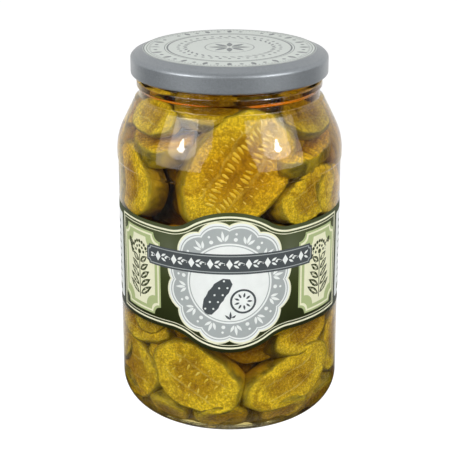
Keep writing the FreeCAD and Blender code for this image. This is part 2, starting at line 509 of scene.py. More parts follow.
def lathe(name, profile, segments):
    """A closed solid of revolution from (radius, height) points whose ends lie on the axis."""
    vertices = [(0, 0, profile[0][1])]
    for radius, height in profile[1:-1]:
        for n in range(segments):
            turn = 2 * math.pi * n / segments
            vertices.append((radius * math.cos(turn), radius * math.sin(turn), height))
    vertices.append((0, 0, profile[-1][1]))
    return mesh_from(name, vertices, ring_faces(0, len(profile) - 2, segments))


# The brine's foot turns in below the first height, and its underside stays below the second
FOOT_HEIGHT = 0.03
UNDERSIDE_HEIGHT = 0.02


def node_profile(node):
    """(height, radius) of a round CAD node's outer wall, from the bottom up."""
    points = np.array([v.co[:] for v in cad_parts[node].data.vertices])
    radii = np.hypot(points[:, 0], points[:, 1])
    heights = np.round(points[:, 2], 5)
    wall = {}
    for height, radius in zip(heights, radii):
        wall[height] = max(wall.get(height, 0.0), radius)
    kept = []
    for height, radius in sorted(wall.items()):
        if height > FOOT_HEIGHT or not kept or radius > kept[-1][1]:
            kept.append((height, radius))
    return np.array(kept)


def node_underside(node, within):
    """(radius, height) of a round CAD node's underside, from the axis out to a radius."""
    points = np.array([v.co[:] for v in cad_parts[node].data.vertices])
    radii = np.round(np.hypot(points[:, 0], points[:, 1]), 4)
    under = {}
    for radius, height in zip(radii, points[:, 2]):
        if radius < within and height < UNDERSIDE_HEIGHT:
            under[radius] = min(under.get(radius, height), height)
    return np.array(sorted(under.items()))


# The brine's wall and underside, in metres, and the heights of its foot and level
INSIDE = node_profile("brine")
UNDER = node_underside("brine", INSIDE[0, 1])
FLOOR = INSIDE[0, 0] / MM
LEVEL = INSIDE[-1, 0] / MM


def inner_radius(placed):
    """The glass's inner radius at the height of each point."""
    return np.interp(placed[:, 2], INSIDE[:, 0], INSIDE[:, 1])


def floor_height(placed):
    """The height of the glass's floor under or over each point."""
    return np.interp(np.hypot(placed[:, 0], placed[:, 1]), UNDER[:, 0], UNDER[:, 1])


# ---------------------------------------------------------------- gherkin slices


# Rings and segments of a slice's mesh: with seeds, plain at the front, and elsewhere
FINE, PLAIN, COARSE = (26, 120), (14, 72), (5, 36)
# Rows of seeds in one half of a slice: place across it, distance between seeds, and size
MANY_SEEDS = ((0.19, 2.1, 1.5), (0.52, 3.6, 0.75))
FEW_SEEDS = ((0.22, 4.4, 1.0), (0.5, 5.6, 0.6))
SEED_RINGS, SEED_SIDES = 5, 8
# Radius that an upright slice bends to where it lies against the glass
BEND_RADIUS = 52.0


class Slice:
    """One slice: its shape in its own frame, then set against the glass. In millimetres."""

    def __init__(self, spot, rings, segments, settings, chance):
        (
            self.theta,
            self.height,
            self.lean,
            self.turn,
            self.roll,
            self.long,
            self.short,
            self.thick,
            self.clear,
            self.tone,
            self.kind,
        ) = spot
        self.settings = settings
        self.chance = chance
        self.phases = chance.uniform(0, 2 * math.pi, 6)
        self.seed_spots = self.lay_seeds() if "s" in self.kind else []
        self.points, self.marks = self.shape(rings, segments)
        self.shift = 0.0
        placed = self.place(self.points)
        self.height += max(0.0, FLOOR + 0.4 - placed[:, 2].min() / MM)
        self.height -= max(0.0, placed[:, 2].max() / MM - LEVEL + 1.0)
        self.shift = self.push_out(self.place(self.points))
        placed = self.place(self.points)
        self.height += max(0.0, 0.3 + (floor_height(placed) - placed[:, 2]).max() / MM)

    def outline(self, turn):
        """The uneven outline's radius at each angle, where 1 is a plain ellipse."""
        p = self.phases
        wave = 0.045 * np.sin(2 * turn + p[0]) + 0.035 * np.sin(3 * turn + p[1])
        wave = wave + 0.02 * np.sin(5 * turn + p[2]) + 0.009 * np.sin(9 * turn + p[3])
        if "c" in self.kind:
            wave = wave + 0.016 * np.sin(24 * turn + p[4])
        return 1 + wave

    def lay_seeds(self):
        """(x, y, direction, length) of the seeds, in rows either side of the long axis."""
        spots = []
        rows = FEW_SEEDS if "f" in self.kind else MANY_SEEDS
        for side in (-1, 1):
            for row, pitch, size in rows:
                count = int(self.long * 0.68 / pitch)
                for n in range(-count, count + 1):
                    offset = 0.5 if row > 0.3 else 0.0
                    x = (n + offset) * pitch + self.chance.normal(0, 0.25)
                    fade = math.sqrt(max(0.0, 1 - (x / (self.long * 0.8)) ** 2))
                    y = side * row * self.short * fade + self.chance.normal(0, 0.2)
                    direction = side * math.pi / 2 - 0.5 * side * x / self.long
                    direction += self.chance.normal(0, 0.14)
                    grown = size * (0.55 + 0.45 * fade) * self.chance.uniform(0.85, 1.15)
                    spots.append((x, y, direction, grown))
        return spots

    def relief(self, x, y, out):
        """How far the cut face stands above its flat, in millimetres."""
        height = -0.35 * np.clip(1 - (out / 0.62) ** 2, 0, 1)
        p = self.phases
        height = height + 0.22 * np.sin(x * 0.42 + p[4]) * np.cos(y * 0.37 + p[5])
        if "c" in self.kind:
            pitch = self.settings.pitch / MM
            height = height + self.settings.crinkle / MM * np.sin(2 * math.pi * x / pitch)
        return height

    def well(self, x, y):
        """How deep each point lies in the hollows round the seeds, from 0 to 1."""
        depth = np.zeros_like(x)
        for sx, sy, direction, size in self.seed_spots:
            along = (x - sx) * math.cos(direction) + (y - sy) * math.sin(direction)
            across = -(x - sx) * math.sin(direction) + (y - sy) * math.cos(direction)
            depth = np.maximum(depth, np.exp(-((along / size / 1.6) ** 2) - (across / size) ** 2))
        return depth

    def shape(self, rings, segments):
        """Latitudes from the middle of one face over the rim to the middle of the other."""
        half = self.thick / 2
        edge = min(1.2 if "r" in self.kind else 0.7, half * 0.8)
        out = 1 - (1 - np.linspace(0, 1, rings + 1)[1:]) ** 1.15
        steps = [(o * (1 - edge / self.short), half, 0.0) for o in out]
        bends = 5 if segments > 60 else 3
        for n in range(1, bends + 1):
            part = n / (bends + 1)
            a = part * math.pi / 2
            reach = 1 - edge / self.short * (1 - math.sin(a))
            steps.append((reach, half - edge * (1 - math.cos(a)), part))
        steps.append((1.012, 0.0, 1.0))
        steps += [(reach, -high, peel) for reach, high, peel in reversed(steps[:-1])]
        turn = np.linspace(0, 2 * math.pi, segments, endpoint=False)
        skin = self.outline(turn)
        points, cuts, peels, wells = [[(0, 0, half)]], [[(0, 0, 0)]], [[0]], [[0]]
        for reach, high, peel in steps:
            x = self.long * reach * skin * np.cos(turn)
            y = self.short * reach * skin * np.sin(turn)
            face = np.sign(high)
            level = np.full(segments, reach)
            z = high + face * self.relief(x, y, level) * (1 - peel)
            sunk = self.well(x, y) * (1 - peel) if face > 0 else np.zeros(segments)
            points.append(np.column_stack([x, y, z - 0.3 * sunk]))
            cuts.append(np.column_stack([reach * np.cos(turn), reach * np.sin(turn), 0 * turn]))
            peels.append(np.full(segments, peel))
            wells.append(sunk)
        points.append([(0, 0, -half)])
        cuts.append([(0, 0, 0)])
        peels.append([0])
        wells.append([0])
        self.rings, self.segments = len(steps), segments
        return np.vstack(points), (np.vstack(cuts), np.concatenate(peels), np.concatenate(wells))

    def place(self, points):
        """The points set at the slice's angle and height, in metres."""
        x, y, z = points[:, 0], points[:, 1], points[:, 2]
        roll, lean, turn, theta = (
            math.radians(v) for v in (self.roll, self.lean, self.turn, self.theta)
        )
        x, y = x * math.cos(roll) - y * math.sin(roll), x * math.sin(roll) + y * math.cos(roll)
        facing = abs(math.cos(lean) * math.cos(turn))
        z = z - facing * x**2 / (2 * BEND_RADIUS)
        y, z = y * math.cos(lean) + z * math.sin(lean), -y * math.sin(lean) + z * math.cos(lean)
        x, z = x * math.cos(turn) + z * math.sin(turn), -x * math.sin(turn) + z * math.cos(turn)
        px = x * math.cos(theta) + (z + self.shift) * math.sin(theta)
        py = x * math.sin(theta) - (z + self.shift) * math.cos(theta)
        return np.column_stack([px, py, y + self.height]) * MM

    def push_out(self, placed):
        """How far the slice can move outward before it meets the glass, in millimetres."""
        theta = math.radians(self.theta)
        out = np.array([math.sin(theta), -math.cos(theta)])
        limit = inner_radius(placed) - self.clear * MM
        along = placed[:, 0] * out[0] + placed[:, 1] * out[1]
        room = np.clip(along**2 - (placed[:, 0] ** 2 + placed[:, 1] ** 2) + limit**2, 0, None)
        return float(np.min(-along + np.sqrt(room)) / MM)

    def seeds(self):
        """Flattened drops, one for each seed, in the slice's frame."""
        made = []
        for sx, sy, direction, size in self.seed_spots:
            level = np.array([math.hypot(sx / self.long, sy / self.short)])
            high = self.thick / 2 + self.relief(np.array([sx]), np.array([sy]), level)[0] - 0.16
            drop = []
            for ring in range(1, SEED_RINGS + 1):
                a = math.pi * ring / (SEED_RINGS + 1)
                along = -math.cos(a) * size * 1.25
                wide = math.sin(a) * size * 0.4 * (1 - 0.35 * math.cos(a))
                for k in range(SEED_SIDES):
                    b = 2 * math.pi * k / SEED_SIDES
                    drop.append((along, wide * math.cos(b), wide * 0.6 * math.sin(b)))
            drop = np.array([(-size * 1.25, 0, 0)] + drop + [(size * 1.25, 0, 0)])
            x = sx + drop[:, 0] * math.cos(direction) - drop[:, 1] * math.sin(direction)
            y = sy + drop[:, 0] * math.sin(direction) + drop[:, 1] * math.cos(direction)
            made.append(self.place(np.column_stack([x, y, high + drop[:, 2]])))
        return made


def join_slices(name, slices, material):
    vertices, faces, cuts, peels, wells, tones_and_painted_light = [], [], [], [], [], []
    start = 0
    for piece in slices:
        placed = piece.place(piece.points)
        vertices.append(placed)
        faces += ring_faces(start, piece.rings, piece.segments, inward=True)
        for values, found in zip((cuts, peels, wells), piece.marks):
            values.append(found)
        # Each slice's tone, which carries painted shade and light as well as its own colour
        tones_and_painted_light.append(np.full(len(placed), piece.tone))
        start += len(placed)
    mesh = mesh_from(name, np.vstack(vertices), faces)
    vector = mesh.attributes.new("cut", "FLOAT_VECTOR", "POINT")
    vector.data.foreach_set("vector", np.vstack(cuts).astype(np.float32).ravel())
    for mark, values in (("peel", peels), ("well", wells), ("tone", tones_and_painted_light)):
        layer = mesh.attributes.new(mark, "FLOAT", "POINT")
        layer.data.foreach_set("value", np.concatenate(values).astype(np.float32))
    new_object(name, mesh, material)


def join_seeds(name, slices, material):
    vertices, faces, start = [], [], 0
    for piece in slices:
        for drop in piece.seeds():
            vertices.append(drop)
            faces += ring_faces(start, SEED_RINGS, SEED_SIDES)
            start += len(drop)
    new_object(name, mesh_from(name, np.vstack(vertices), faces), material)


# Slices that show at the front. Each row: angle round the jar and height of the middle, lean of
# the top inwards, turn of the face, roll in its plane, half length, half width, thickness,
# clearance from the glass, tone, which is also painted shade (low for slices set deep behind
# the front ones), and its kind: s seeds, sf few seeds, c crinkle cut, r wider rim.
FRONT_SLICES = [
    (5, 112.0, 11, 3, 55, 26.5, 17.5, 11.0, 0.6, 0.92, "sr"),
    (-64, 103.0, 2, -8, 78, 14.5, 14.0, 9.0, 0.5, 1.12, "r"),
    (-50, 118.0, 74, 4, 4, 14.0, 11.0, 7.5, 0.6, 1.05, "r"),
    (-57, 128.8, 34, 0, -6, 13.0, 9.0, 5.0, 0.8, 0.95, "r"),
    (-30, 101.0, 12, 34, 70, 12.0, 9.0, 8.0, 12.0, 0.2, ""),
    (-29, 116.0, 22, 14, 50, 13.0, 9.0, 8.0, 11.0, 0.3, ""),
    (-18, 132.5, 58, 6, -14, 13.0, 9.0, 6.0, 2.0, 0.75, "r"),
    (35, 102.5, 8, 22, 70, 12.0, 8.0, 7.0, 5.0, 0.5, "c"),
    (50, 100.0, 6, 0, 20, 16.0, 10.5, 8.0, 0.6, 0.95, "c"),
    (70, 98.0, 4, 10, -10, 14.0, 10.0, 8.0, 0.8, 1.0, "r"),
    (55, 115.5, 72, 0, 20, 17.0, 11.0, 6.0, 0.6, 0.98, "c"),
    (44, 123.0, 30, -24, 70, 13.0, 8.0, 6.0, 5.5, 0.55, ""),
    (62, 127.5, 50, 0, -12, 14.0, 10.0, 5.0, 1.2, 0.66, ""),
    (26, 128.0, 40, 16, 24, 13.0, 8.0, 6.0, 12.0, 0.5, "r"),
    (-60, 42.0, 24, 0, 8, 16.0, 9.0, 8.0, 0.7, 0.86, "r"),
    (-66, 21.5, -4, -6, 4, 18.0, 13.5, 9.0, 0.5, 1.0, "r"),
    (-37, 37.0, 10, 16, 38, 12.0, 7.5, 8.0, 1.6, 0.72, "c"),
    (-20, 25.5, 2, 0, -34, 19.0, 14.5, 9.5, 0.5, 1.0, "sfr"),
    (38, 23.0, 0, 0, 20, 22.5, 11.0, 10.0, 0.5, 1.04, "r"),
    (47, 40.0, 22, 4, 12, 16.5, 7.5, 8.0, 0.9, 0.86, "r"),
    (7, 33.0, 18, 28, 64, 13.0, 9.0, 7.0, 8.0, 0.36, ""),
    (18, 39.0, 14, -18, 24, 13.0, 8.0, 7.0, 5.0, 0.46, ""),
    (5, 16.0, 26, -18, 50, 12.0, 8.0, 7.0, 12.0, 0.22, ""),
    (-12, 7.5, 64, 0, 2, 15.0, 10.0, 6.5, 0.5, 0.95, "r"),
    (-60, 7.0, 66, 0, -4, 16.0, 10.0, 6.0, 0.5, 0.92, "r"),
    (32, 7.0, 68, 0, 4, 16.0, 10.0, 6.0, 0.5, 0.9, "r"),
    (70, 7.5, 62, 0, 0, 15.0, 10.0, 6.0, 0.5, 0.95, "r"),
    (78, 30.0, 6, 0, 70, 15.0, 11.0, 8.0, 0.8, 0.95, "r"),
    (-84, 62.0, 6, 0, 40, 17.0, 13.0, 8.0, 0.8, 0.95, "r"),
    (80, 62.0, 10, 0, 60, 17.0, 13.0, 8.0, 0.8, 0.95, "r"),
]


# How a chance slice lies, with the range of its lean and of its roll: upright against the wall,
# flat on the floor, or with its foot drawn in at the jar's rounded heel
UPRIGHT = ((-8, 40), (0, 180))
FLAT = ((66, 84), (0, 180))
HEEL = ((-52, -38), (-14, 14))
KINDS = ["r", "r", "s", "c", ""]


def chance_slices(chance, thick):
    """Slices that fill the sides, the back, behind the label and the middle of the jar."""
    upright, flat, heel = [], [], []
    for row, height in enumerate((14, 30, 47, 64, 81, 98, 113, 126)):
        for n in range(8):
            theta = 100 + n * 160 / 7 + (11 if row % 2 else 0) + chance.normal(0, 3)
            upright.append((UPRIGHT, theta, height, 0.6, 14.0))
    for n in range(11):
        flat.append((FLAT, n * 360 / 11 + chance.normal(0, 3), 7, 0.5, 12.5))
    for n in range(10):
        heel.append((HEEL, n * 36 - 4 + chance.normal(0, 3), 8, 0.4, 9.0))
    for row, height in enumerate((56, 76)):
        for n in range(6):
            upright.append((UPRIGHT, -75 + n * 30 + 10 * row, height, 0.9, 13.0))
    for row, height in enumerate((18, 36, 54, 72, 90, 106, 120)):
        for n in range(9):
            theta = n * 40 + (20 if row % 2 else 0) + chance.normal(0, 5)
            upright.append((UPRIGHT, theta, height, 15.0, 12.0))
    made = []
    for way, theta, height, clear, size in upright + flat + heel:
        lean, roll = way
        outer = clear < 5
        # Tone that is also painted shade and light: lighter at the heel where little light reaches,
        # much darker for slices deep in the jar
        tone = (1.0, 1.2) if way is HEEL else (0.75, 1.1) if outer else (0.13, 0.28)
        if height > 118:
            size = size * 0.8
        made.append(
            (
                theta,
                height + chance.normal(0, 2.0),
                chance.uniform(*lean),
                chance.normal(0, 12),
                chance.uniform(*roll),
                size * chance.uniform(0.95, 1.4),
                size * chance.uniform(0.7, 0.95),
                thick / MM * chance.uniform(0.75, 1.1),
                clear,
                chance.uniform(*tone),
                chance.choice(KINDS) if outer else "",
            )
        )
    return made


# ---------------------------------------------------------------- prints


def polar(radius, degrees):
    """(x, y) of the point at a radius and an angle."""
    a = math.radians(degrees)
    return radius * math.cos(a), radius * math.sin(a)


def circle(x, y, radius, count=72):
    turns = [2 * math.pi * n / count for n in range(count)]
    return [(x + radius * math.cos(t), y + radius * math.sin(t)) for t in turns]


def lobed(x, y, wide, high, lobes, depth, count=288):
    """A closed outline with rounded lobes."""
    points = []
    for n in range(count):
        t = 2 * math.pi * n / count
        swell = 1 - depth * (1 - abs(math.sin(lobes * t / 2)) ** 0.8)
        points.append((x + wide * swell * math.sin(t), y + high * swell * math.cos(t)))
    return points


def leaf(x, y, angle, length, width, count=9):
    """An almond-shaped leaf from its foot."""
    points = []
    for side in (1, -1):
        for n in range(count):
            t = n / count if side > 0 else 1 - n / count
            across = side * width / 2 * math.sin(math.pi * t**0.85)
            a = math.radians(angle)
            points.append(
                (
                    x + length * t * math.cos(a) - across * math.sin(a),
                    y + length * t * math.sin(a) + across * math.cos(a),
                )
            )
    return points


def bar(x0, y0, x1, y1):
    return [(x0, y0), (x1, y0), (x1, y1), (x0, y1)]


def rounded_bar(x0, y0, x1, y1, radius, steps=6, hollow=False):
    """A rectangle with rounded corners, or with corners cut by inward quarter circles."""
    points = []
    corners = ((x1, y1, 0), (x0, y1, 90), (x0, y0, 180), (x1, y0, 270))
    for cx, cy, start in corners:
        sx = 1 if cx == x1 else -1
        sy = 1 if cy == y1 else -1
        for n in range(steps + 1):
            if hollow:
                a = math.radians(start + 270 - 90 * n / steps)
                points.append((cx + radius * math.cos(a), cy + radius * math.sin(a)))
            else:
                a = math.radians(start + 90 * n / steps)
                mx, my = cx - sx * radius, cy - sy * radius
                points.append((mx + radius * math.cos(a), my + radius * math.sin(a)))
    return points


def gherkin_shape(x, y, angle, length, width, bend=0.12, count=14):
    """A plump curved gherkin outline."""
    points = []
    a = math.radians(angle)
    for side in (1, -1):
        for n in range(count):
            t = n / count if side > 0 else 1 - n / count
            u = (t - 0.5) * 2
            girth = width / 2 * (1 - abs(u) ** 3.2) ** 0.5
            girth *= 1 + 0.05 * math.sin(9 * t * math.pi)
            px = u * length / 2
            py = side * girth + bend * length * (1 - u * u)
            place = (px * math.cos(a) - py * math.sin(a), px * math.sin(a) + py * math.cos(a))
            points.append((x + place[0], y + place[1]))
    return points


def ring(outer, inner):
    """A round line about the middle."""
    return [circle(0, 0, outer, 120), circle(0, 0, inner, 120)]


def flat_print(loops):
    """The filled area of closed outlines as a flat mesh; an outline inside another is a hole."""
    curve = bpy.data.curves.new("outline", "CURVE")
    curve.dimensions = "2D"
    curve.fill_mode = "FRONT"
    for loop in loops:
        spline = curve.splines.new("POLY")
        spline.points.add(len(loop) - 1)
        for point, place in zip(spline.points, loop):
            point.co = (*place, 0, 1)
        spline.use_cyclic_u = True
    holder = bpy.data.objects.new("outline", curve)
    bpy.context.collection.objects.link(holder)
    mesh = bpy.data.meshes.new_from_object(holder)
    bpy.data.objects.remove(holder)
    bpy.data.curves.remove(curve)
    return mesh


def wrap_print(mesh, radius, middle, step=1.6):
    """Cuts the flat print into narrow upright strips and lays it round the jar."""
    work = bmesh.new()
    work.from_mesh(mesh)
    low = min(v.co.x for v in work.verts)
    high = max(v.co.x for v in work.verts)
    for n in range(math.ceil(low / step), math.floor(high / step) + 1):
        everything = work.verts[:] + work.edges[:] + work.faces[:]
        bmesh.ops.bisect_plane(
            work, geom=everything, plane_co=(n * step, 0, 0), plane_no=(1, 0, 0), dist=1e-5
        )
    for vertex in work.verts:
        turn = vertex.co.x / radius
        height = vertex.co.y + middle
        vertex.co = Vector((radius * math.sin(turn), -radius * math.cos(turn), height)) * MM
    bmesh.ops.recalc_face_normals(work, faces=work.faces)
    for face in work.faces:
        centre = face.calc_center_median()
        if face.normal.x * centre.x + face.normal.y * centre.y < 0:
            face.normal_flip()
    work.to_mesh(mesh)
    work.free()
    return mesh


LABEL_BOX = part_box("label")
LABEL_MIDDLE = (LABEL_BOX[0][2] + LABEL_BOX[1][2]) / 2 / MM
LABEL_OUTSIDE = LABEL_BOX[1][0] / MM
# The label's outline: radius of the round middle, half height of the band, radius of the blend
# between them, and the gap where the band's ends nearly meet at the back
BULGE = (LABEL_BOX[1][2] - LABEL_BOX[0][2]) / 2 / MM
BAND = 21.9
BLEND = 15.0
BACK_GAP = 14.0
# Half the length of the front that the keyline goes round
FRONT_HALF = 56.5


def label_height(s, inset=0.0):
    """Half height of the label at arc length s from the front, drawn in by inset."""
    s = abs(s)
    radius, band, blend = BULGE - inset, BAND - inset, BLEND + inset
    reach = math.sqrt((radius + blend) ** 2 - (band + blend) ** 2)
    if s < reach * radius / (radius + blend):
        return math.sqrt(radius**2 - s**2)
    if s < reach:
        return band + blend - math.sqrt(blend**2 - (s - reach) ** 2)
    return band


def label_outline(left, right, inset, step=0.8):
    """The label's own outline between two arc lengths, drawn in by inset."""
    count = max(2, round((right - left) / step))
    stations = [left + (right - left) * n / count for n in range(count + 1)]
    top = [(s, label_height(s, inset)) for s in stations]
    return top + [(s, -h) for s, h in reversed(top)]


def label_sheet(half, step=0.8):
    """The label laid flat, as one upright strip for each step."""
    spots = np.linspace(-half, half, math.ceil(2 * half / step) + 1)
    vertices = [(s, way * label_height(s), 0) for s in spots for way in (-1, 1)]
    faces = [(n, n + 2, n + 3, n + 1) for n in range(0, len(vertices) - 2, 2)]
    return mesh_from("label_sheet", vertices, faces)


def inset_bar(x0, x1, half, inset, radius):
    """A rectangle with hollow corners, drawn in by inset from two ends and a half height."""
    high = half - inset
    return rounded_bar(x0 + inset, -high, x1 - inset, high, radius, hollow=True)


def side_panel_art(side):
    """Light green panel with a leafy sprig between two gherkins, for one side of the label."""
    x0, x1 = sorted((side * 29.4, side * 53.6))
    middle = (x0 + x1) / 2
    fields = [inset_bar(x0, x1, 17.4, 0.0, 3.4)]
    lines = [inset_bar(x0, x1, 17.4, inset, 3.4) for inset in (0.8, 1.6)]
    lines.append(inset_bar(x0, x1, 17.4, 3.0, 5.0))
    sprig = [bar(middle - 0.25, -12.5, middle + 0.25, 6.0)]
    veins = []
    for n in range(5):
        y = -11.0 + n * 3.5
        long = 8.4 - 0.8 * n
        for turn, way in ((36, 1), (144, -1)):
            sprig.append(leaf(middle + 0.5 * way, y, turn, long, 2.5))
            veins.append(leaf(middle + 1.4 * way, y + 0.66, turn, long * 0.62, 0.6))
    for reach, count, size in ((4.6, 9, 0.72), (2.6, 5, 0.6)):
        for n in range(count):
            x, y = polar(reach, 10 + n * 160 / (count - 1))
            sprig.append(circle(middle + x, 7.0 + y, size, 16))
    sprig.append(circle(middle, 7.2, 1.0, 20))
    for way in (-1, 1):
        sprig.append(gherkin_shape(middle + way * 6.2, 8.4, 90 - way * 24, 7.0, 2.4, 0.08 * way))
    return fields, lines, sprig, veins


# How far the lid's printed panel lies within its rim, and the angle that a printed tick spans
LID_SHOULDER = 5.0
TICK_ANGLE = math.degrees(0.012)


def field_outline(size):
    """The lobed outline of the label's middle."""
    return lobed(0, 0, size, size, 12, 0.075)


def centre_art():
    """A tinted ring, and a gherkin beside a round slice over three leaves of dill."""
    grey = [field_outline(size) for size in (24.7, 24.3, 23.6)] + [circle(0, 0, 16.9, 120)]
    for n in range(24):
        angle = n * 15 + 7.5
        if n % 2:
            grey.append(circle(*polar(18.6, angle), 0.8, 20))
            grey.append(circle(*polar(20.9, angle), 0.5, 16))
        else:
            x, y = polar(17.5, angle)
            for turn in (-34, 0, 34):
                dx, dy = polar(0.5, angle + turn * 2)
                grey.append(leaf(x + dx, y + dy, angle + turn, 4.3 if turn == 0 else 3.4, 1.15))
    grey += ring(16.2, 15.8)
    gherkin = [gherkin_shape(-4.6, -5.6, 58, 18.0, 6.8, 0.05)]
    for n in range(-4, 5):
        wide = 1.3 if n % 2 else -1.0
        gherkin.append(circle(n * 0.93 - 4.9 + wide, -5.4 + n * 1.5 - wide * 0.6, 0.42, 12))
    x, y, radius = 5.4, -7.4, 5.2
    edge = [circle(x, y, radius + 0.6)]
    cut = [circle(x, y, radius), circle(x, y, radius * 0.84)]
    for n in range(9):
        dx, dy = polar(radius * 0.3, n * 40)
        cut.append(leaf(x + dx, y + dy, n * 40, radius * 0.42, radius * 0.16))
    dill = [leaf(0.4, -15.2, way, 3.6 if way == 90 else 3.0, 0.9) for way in (42, 90, 138)]
    return grey, gherkin, edge, cut, dill


def strip_art():
    """The dark strip's outline, its fine frame and its row of pale leaves and lozenges."""
    half, low, high = 36.5, 4.0, 12.4
    base = [rounded_bar(-half, low, half, high, 1.3, hollow=True)]
    frame_line = [
        rounded_bar(-half + 0.7, low + 0.7, half - 0.7, high - 0.7, 1.3, hollow=True),
        rounded_bar(-half + 1.05, low + 1.05, half - 1.05, high - 1.05, 1.3, hollow=True),
    ]
    middle = (low + high) / 2
    row = []
    for n in range(-4, 5):
        x = n * 7.6
        row.append([(x, middle + 2.1), (x + 1.3, middle), (x, middle - 2.1), (x - 1.3, middle)])
        for way in (0, 180):
            foot = x + (1.7 if way == 0 else -1.7)
            for turn in (30, -30):
                row.append(leaf(foot, middle + 0.012 * turn, way + turn, 2.5, 0.95))
        if n < 4:
            row.append(circle(x + 3.8, middle, 0.5, 14))
    return base, frame_line, row


def back_art():
    """Plain fields and rules on the part of the label that goes round the back."""
    grain_and_glint, rules, bands = [], [], []
    for side in (-1, 1):
        x0, x1 = sorted((side * 57.5, side * 135.0))
        grain_and_glint.append(rounded_bar(x0, -18.6, x1, 18.6, 1.2))
        for n in range(9):
            y = 13.0 - n * 3.1
            left, right = sorted((side * 62.0, side * (92.0 - 4.0 * (n % 3))))
            rules.append(bar(left, y, right, y + 0.9))
        left, right = sorted((side * 100.0, side * 130.0))
        for n in range(6):
            y = 12.0 - n * 4.6
            rules.append(bar(left, y, right, y + 0.35))
        left, right = sorted((side * 62.0, side * 92.0))
        bands.append(rounded_bar(left, -17.0, right, -14.2, 0.8))
        for n in range(4):
            bands.append(leaf(side * 112, 0.0, 45 + 90 * n, 6.0, 2.2))
    return grain_and_glint, rules, bands


# ---------------------------------------------------------------- operators


def wipe(*names):
    """Removes pieces made before, so an operator can be run again."""
    for name in names:
        if name in bpy.data.objects:
            bpy.data.objects.remove(bpy.data.objects[name])


def dress(node, material):
    """Gives a CAD node its one material."""
    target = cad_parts[node]
    target.data.materials.clear()
    target.data.materials.append(material)
    for polygon in target.data.polygons:
        polygon.material_index = 0


class JAR_OT_glass(bpy.types.Operator):
    """Gives the jar its clear glass"""

    bl_idname = "jar.glass"
    bl_label = "Glass"

    def execute(self, context):
        settings = context.scene.jar_glass
        dress("glass_jar", clear_material("jar_glass", tuple(settings.tint), settings.refraction))
        return {"FINISHED"}


class JAR_OT_brine(bpy.types.Operator):
    """Makes the brine, which reaches just into the glass wall so that no air shows"""

    bl_idname = "jar.brine"
    bl_label = "Brine"

    def execute(self, context):
        settings = context.scene.jar_brine
        wipe("brine_fill")
        low, high = INSIDE[0, 0], INSIDE[-1, 0]
        profile = [(0.0, UNDER[0, 1] - settings.reach)]
        profile += [(radius, height - settings.reach) for radius, height in UNDER if radius > 0]
        for height, radius in INSIDE:
            if height < high - 1e-6:
                drop = settings.reach if height < low + 0.004 else 0.0
                profile.append((radius + settings.reach * 0.8, height - drop))
        profile += [(INSIDE[-1, 1] + settings.reach * 0.8, high), (INSIDE[-1, 1] - 0.002, high)]
        profile.append((0.0, high))
        mesh = lathe("brine_fill", profile, 160)
        medium = (tuple(settings.colour), settings.density)
        material = clear_material("jar_brine", (1, 1, 1), settings.refraction, medium, 0.1)
        fill = new_object("brine_fill", mesh, material)
        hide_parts("brine")
        return {"FINISHED"}


class JAR_OT_slices(bpy.types.Operator):
    """Makes the gherkin slices and their seeds"""

    bl_idname = "jar.slices"
    bl_label = "Gherkin slices"

    def execute(self, context):
        settings = context.scene.jar_slices
        wipe("slices_front", "slices_round", "slice_seeds")
        chance = np.random.default_rng(settings.shuffle)
        front = []
        for spot in FRONT_SLICES:
            rings, segments = FINE if "s" in spot[-1] else PLAIN
            front.append(Slice(spot, rings, segments, settings, chance))
        spots = chance_slices(chance, settings.thickness)
        round_about = [Slice(spot, *COARSE, settings, chance) for spot in spots]
        material = gherkin_material(settings)
        join_slices("slices_front", front, material)
        join_slices("slices_round", round_about, material)
        join_seeds("slice_seeds", front + round_about, seed_material(settings))
        return {"FINISHED"}


class JAR_OT_label(bpy.types.Operator):
    """Makes the paper label and its layers of print"""

    bl_idname = "jar.label"
    bl_label = "Label"

    def execute(self, context):
        settings = context.scene.jar_label
        layer = settings.layer / MM
        outside = LABEL_OUTSIDE - 5 * layer
        half = math.pi * outside - BACK_GAP / 2
        inks = {
            name: print_material("ink_" + name, tuple(getattr(settings, name)))
            for name in ("ground", "leaf", "cream", "paper", "grey", "slate")
        }

        sheet = wrap_print(label_sheet(half), outside, LABEL_MIDDLE, 2 * half)
        piece = new_object("label_sheet", sheet, inks["ground"])
        solid = piece.modifiers.new("sheet", "SOLIDIFY")
        solid.thickness = settings.sheet
        solid.offset = -1
        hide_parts("label")

        keyline = []
        for start, width in ((1.5, 0.75), (3.0, 0.3)):
            for inset in (start, start + width):
                keyline.append(label_outline(inset - FRONT_HALF, FRONT_HALF - inset, inset))
        sides = zip(side_panel_art(-1), side_panel_art(1))
        fields, lines, sprigs, veins = (left + right for left, right in sides)
        ring_art, gherkin, cut_edge, cut, dill = centre_art()
        base, frame_line, row = strip_art()
        back_pale, rules, bands = back_art()
        # Each print: its outlines, the layer of ink it lies on, and its ink
        prints = [
            ("label_keyline", keyline, 1, "cream"),
            ("label_side_fields", fields, 1, "leaf"),
            ("label_side_lines", lines, 2, "cream"),
            ("label_side_sprigs", sprigs, 2, "ground"),
            ("label_side_veins", veins, 3, "cream"),
            ("label_centre_halo", [field_outline(26.3)], 1, "cream"),
            ("label_centre_field", [field_outline(25.6)], 2, "paper"),
            ("label_centre_ring", ring_art, 3, "grey"),
            ("label_gherkin_back", gherkin, 3, "slate"),
            ("label_gherkin_edge", cut_edge, 4, "paper"),
            ("label_gherkin_front", cut, 5, "slate"),
            ("label_dill", dill, 3, "slate"),
            ("label_strip", base, 4, "slate"),
            ("label_strip_frame", frame_line, 5, "grey"),
            ("label_strip_row", row, 5, "paper"),
            ("label_back_fields", back_pale, 1, "paper"),
            ("label_back_rules", rules, 2, "slate"),
            ("label_back_bands", bands, 2, "ground"),
        ]
        for name, loops, level, ink in prints:
            wipe(name)
            mesh = wrap_print(flat_print(loops), outside + level * layer, LABEL_MIDDLE)
            new_object(name, mesh, inks[ink])
        return {"FINISHED"}


